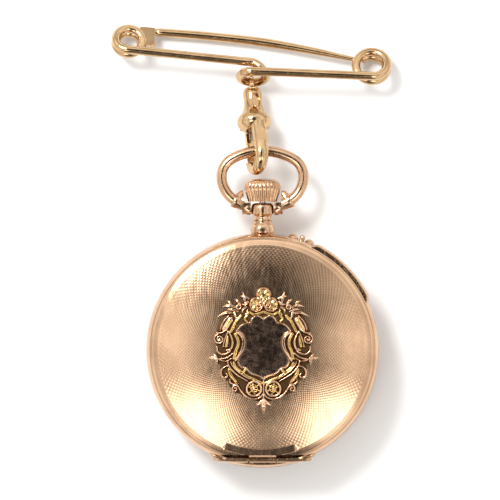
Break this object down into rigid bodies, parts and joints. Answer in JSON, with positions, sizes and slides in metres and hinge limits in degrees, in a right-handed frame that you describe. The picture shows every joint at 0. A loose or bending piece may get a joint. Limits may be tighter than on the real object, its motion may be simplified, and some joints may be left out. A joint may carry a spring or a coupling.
{
  "type": "fob watch",
  "caption": "Hunter-cased crown-wound fob watch with a raised cartouche on its engine-turned lid, a dog-clip swivel and a safety-pin brooch.",
  "frame": {"origin": "middle of the flat spot on the back lid, on which the watch lies", "axes": "+Z out of the front lid, +Y from the case towards the crown, +X to the right seen from the front"},
  "size_m": [0.0398, 0.0633, 0.0114],
  "materials": {
    "rose_gold": "polished rose gold, lightly worn",
    "two_tone_gold": "chased yellow and green gold, dark in the recesses",
    "yellow_gold": "polished yellow gold",
    "gilt_plate": "frosted gilt brass",
    "gilt_wheel": "polished gilt brass",
    "spring_steel": "polished hardened steel",
    "gold_hand": "polished gilt",
    "enamel": "white fired enamel on copper",
    "ruby": "polished ruby",
    "crystal": "clear polished glass"
  },
  "bodies": {
    "case": {"case_band": "rose_gold", "lid_hinge_pins": "rose_gold", "bezel": "rose_gold", "crystal": "crystal", "pendant": "rose_gold", "pin_guards": "rose_gold", "case_screws": "spring_steel", "lift_spring": "spring_steel", "lock_spring": "spring_steel", "main_plate": "gilt_plate", "train_bridge": "gilt_plate", "barrel_bridge": "gilt_plate", "balance_cock": "gilt_plate", "pallet_bridge": "gilt_plate", "bridge_screws": "spring_steel", "jewels": "ruby", "click": "spring_steel", "click_spring": "spring_steel", "hairspring": "spring_steel", "regulator": "spring_steel", "dial": "enamel", "dial_feet": "gilt_wheel", "bow_screws": "rose_gold"},
    "front_lid": {"front_lid": "rose_gold", "cartouche": "two_tone_gold"},
    "back_lid": {"back_lid": "rose_gold"},
    "cuvette": {"cuvette": "rose_gold"},
    "bow": {"bow": "rose_gold"},
    "crown": {"crown": "rose_gold", "winding_stem": "spring_steel", "winding_pinion": "spring_steel"},
    "crown_wheel": {"crown_wheel": "spring_steel"},
    "ratchet": {"ratchet_wheel": "spring_steel", "barrel_arbor": "spring_steel"},
    "barrel": {"barrel": "gilt_wheel", "barrel_cover": "gilt_wheel", "mainspring": "spring_steel"},
    "centre_wheel": {"centre_wheel": "gilt_wheel"},
    "third_wheel": {"third_wheel": "gilt_wheel"},
    "fourth_wheel": {"fourth_wheel": "gilt_wheel"},
    "escape_wheel": {"escape_wheel": "spring_steel"},
    "pallet_fork": {"pallet_fork": "spring_steel"},
    "balance": {"balance_wheel": "gilt_wheel"},
    "setting_pin": {"set_pin": "rose_gold"},
    "setting_yoke": {"setting_yoke": "spring_steel"},
    "minute_hand": {"minute_hand": "gold_hand", "cannon_pinion": "spring_steel"},
    "minute_wheel": {"minute_wheel": "gilt_wheel"},
    "hour_hand": {"hour_hand": "gold_hand", "hour_wheel": "gilt_wheel"},
    "clip": {"clip_body": "yellow_gold", "gate_rivet": "yellow_gold", "gate_spring": "spring_steel"},
    "gate": {"clip_gate": "yellow_gold"},
    "eye": {"swivel_eye": "yellow_gold"},
    "brooch": {"brooch_frame": "yellow_gold"},
    "needle": {"brooch_needle": "yellow_gold"}
  },
  "joints": [
    {"name": "front_lid_hinge", "type": "hinge", "parent": "case", "child": "front_lid", "pos_m": [0, -0.0154, 0.0079], "axis": [1, 0, 0], "range_deg": [0, 95]},
    {"name": "back_lid_hinge", "type": "hinge", "parent": "case", "child": "back_lid", "pos_m": [0, -0.0154, 0.0031], "axis": [-1, 0, 0], "range_deg": [0, 95]},
    {"name": "cuvette_hinge", "type": "hinge", "parent": "case", "child": "cuvette", "pos_m": [0, -0.01372, 0.00345], "axis": [-1, 0, 0], "range_deg": [0, 61.75]},
    {"name": "bow_hinge", "type": "hinge", "parent": "case", "child": "bow", "pos_m": [0, 0.01975, 0.0055], "axis": [1, 0, 0], "range_deg": [-60, 60]},
    {"name": "crown_turn", "type": "hinge", "parent": "case", "child": "crown", "pos_m": [0, 0.022, 0.0055], "axis": [0, 1, 0], "continuous": true},
    {"name": "crown_wheel_turn", "type": "hinge", "parent": "case", "child": "crown_wheel", "pos_m": [0, 0.0092, 0.003], "axis": [0, 0, 1], "continuous": true},
    {"name": "ratchet_turn", "type": "hinge", "parent": "case", "child": "ratchet", "pos_m": [-0.00479, 0.00336, 0.003], "axis": [0, 0, 1], "continuous": true},
    {"name": "third_wheel_turn", "type": "hinge", "parent": "case", "child": "third_wheel", "pos_m": [0.00225, -0.0039, 0.0035], "axis": [0, 0, 1], "continuous": true},
    {"name": "centre_wheel_turn", "type": "hinge", "parent": "case", "child": "centre_wheel", "pos_m": [0, 0, 0.0035], "axis": [0, 0, 1], "continuous": true},
    {"name": "barrel_turn", "type": "hinge", "parent": "case", "child": "barrel", "pos_m": [-0.00479, 0.00336, 0.0038], "axis": [0, 0, 1], "continuous": true},
    {"name": "fourth_wheel_turn", "type": "hinge", "parent": "case", "child": "fourth_wheel", "pos_m": [0.0064, -0.0048, 0.0035], "axis": [0, 0, 1], "continuous": true},
    {"name": "escape_wheel_turn", "type": "hinge", "parent": "case", "child": "escape_wheel", "pos_m": [0.00807, -0.00145, 0.0035], "axis": [0, 0, 1], "continuous": true},
    {"name": "pallet_swing", "type": "hinge", "parent": "case", "child": "pallet_fork", "pos_m": [0.00757, 0.00092, 0.0039], "axis": [0, 0, 1], "range_deg": [-4, 4]},
    {"name": "balance_swing", "type": "hinge", "parent": "case", "child": "balance", "pos_m": [0.0066, 0.0055, 0.0035], "axis": [0, 0, 1], "range_deg": [-270, 270]},
    {"name": "setting_pin_push", "type": "slide", "parent": "case", "child": "setting_pin", "axis": [-0.3363, -0.9418, 0], "range_m": [0, 0.0006], "stiffness_N_per_m": 300},
    {"name": "setting_yoke_turn", "type": "hinge", "parent": "case", "child": "setting_yoke", "pos_m": [0.0036, 0.0084, 0.00595], "axis": [0, 0, 1], "range_deg": [0, 12]},
    {"name": "minute_hand_turn", "type": "hinge", "parent": "case", "child": "minute_hand", "pos_m": [0, 0, 0.0075], "axis": [0, 0, 1], "continuous": true},
    {"name": "minute_wheel_turn", "type": "hinge", "parent": "case", "child": "minute_wheel", "pos_m": [-0.0005, 0.00284, 0.0065], "axis": [0, 0, 1], "continuous": true},
    {"name": "hour_hand_turn", "type": "hinge", "parent": "case", "child": "hour_hand", "pos_m": [0, 0, 0.0072], "axis": [0, 0, 1], "continuous": true},
    {"name": "clip_swing", "type": "hinge", "parent": "bow", "child": "clip", "pos_m": [-0.0009, 0.0282, 0.0055], "axis": [1, 0, 0], "range_deg": [-25, 40]},
    {"name": "gate_hinge", "type": "hinge", "parent": "clip", "child": "gate", "pos_m": [-0.0017, 0.03107, 0.00296], "axis": [-0.9267, 0.0687, 0.3696], "range_deg": [0, 12], "stiffness_Nm_per_rad": 0.01},
    {"name": "eye_swivel", "type": "hinge", "parent": "clip", "child": "eye", "pos_m": [-0.00155, 0.038, 0.00204], "axis": [-0.0628, 0.9411, -0.3323], "continuous": true},
    {"name": "brooch_swing", "type": "hinge", "parent": "eye", "child": "brooch", "pos_m": [-0.00155, 0.038, 0.00204], "axis": [1, 0, 0], "range_deg": [-15, 25]},
    {"name": "needle_opening", "type": "hinge", "parent": "brooch", "child": "needle", "pos_m": [0.013, 0.04125, 0.00161], "axis": [-0.0877, -0.8616, 0.5], "range_deg": [0, 25]}
  ],
  "couplings": [
    {"joint": "cuvette_hinge", "follows": "back_lid_hinge", "ratio": 0.65},
    {"joint": "crown_wheel_turn", "follows": "crown_turn", "ratio": 0.8},
    {"joint": "ratchet_turn", "follows": "crown_turn", "ratio": -0.41143},
    {"joint": "centre_wheel_turn", "follows": "third_wheel_turn", "ratio": -0.125},
    {"joint": "barrel_turn", "follows": "third_wheel_turn", "ratio": 0.015625},
    {"joint": "fourth_wheel_turn", "follows": "third_wheel_turn", "ratio": -7.5},
    {"joint": "escape_wheel_turn", "follows": "third_wheel_turn", "ratio": 75},
    {"joint": "setting_yoke_turn", "follows": "setting_pin_push", "rad_per_m": 349.07},
    {"joint": "minute_wheel_turn", "follows": "minute_hand_turn", "ratio": -0.33333},
    {"joint": "hour_hand_turn", "follows": "minute_hand_turn", "ratio": 0.083333}
  ]
}
